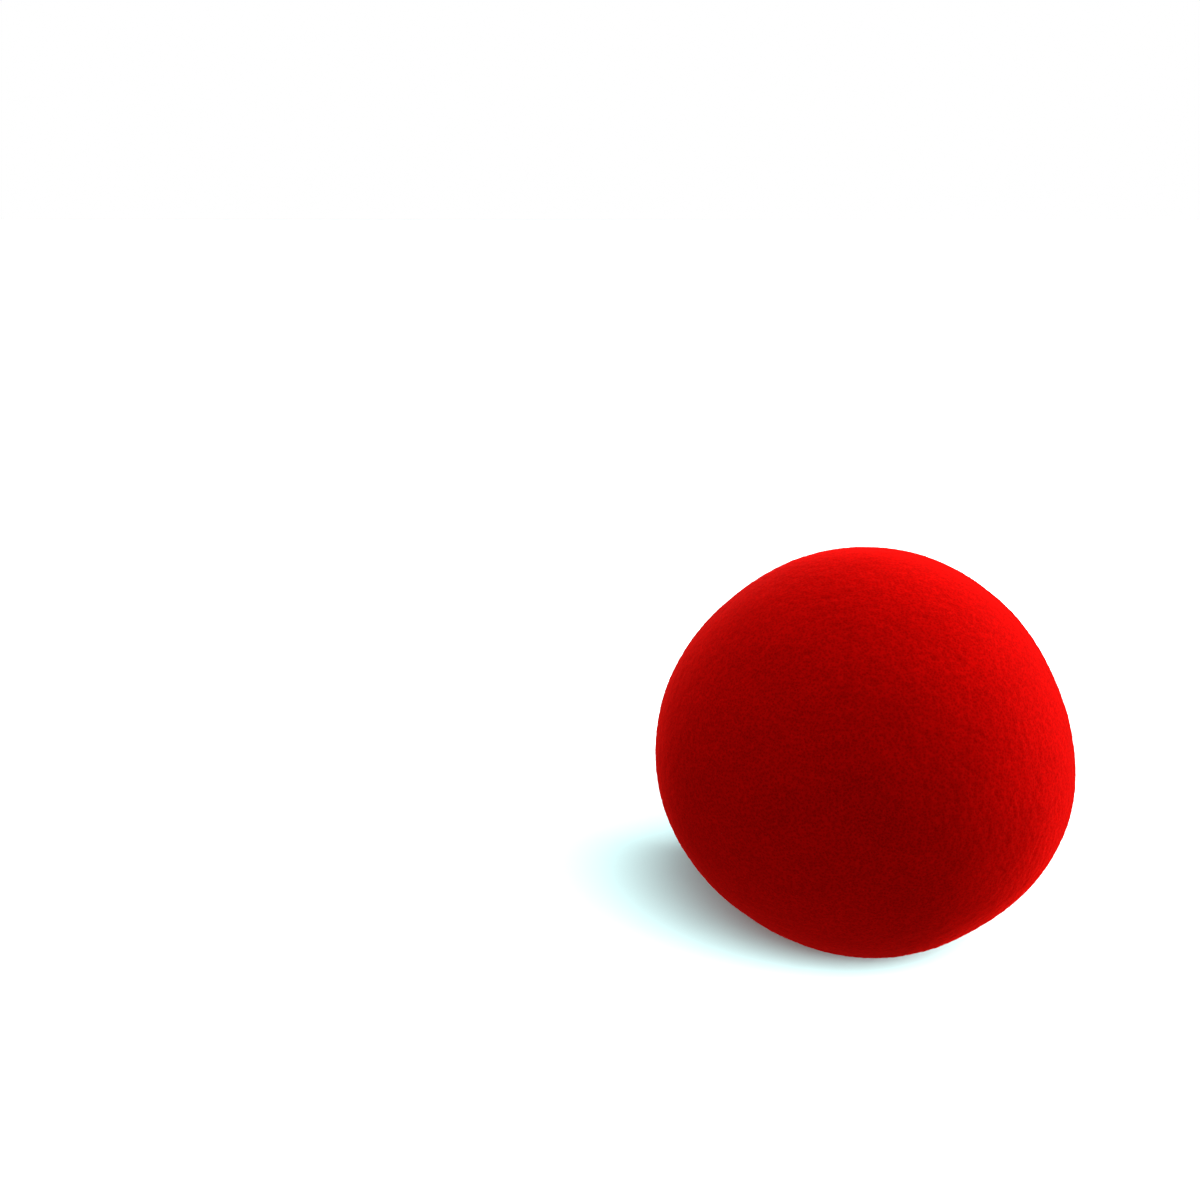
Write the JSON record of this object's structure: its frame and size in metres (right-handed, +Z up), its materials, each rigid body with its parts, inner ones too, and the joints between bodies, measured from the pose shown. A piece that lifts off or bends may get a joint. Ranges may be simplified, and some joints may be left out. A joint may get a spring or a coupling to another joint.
{
  "type": "foam clown nose",
  "caption": "Red foam ball worn over the nose as part of a clown costume, with a slit in its back that grips the wearer's nose.",
  "frame": {"origin": "on the table, under the middle of the ball as it lies", "axes": "+X to the right seen from the front, +Y from the closed front to the slit in the back, +Z up"},
  "size_m": [0.0504, 0.047, 0.0487],
  "materials": {
    "red_foam": "matt, very fine open cells, slightly velvety"
  },
  "bodies": {
    "root": {"foam_ball": "red_foam"}
  },
  "joints": []
}
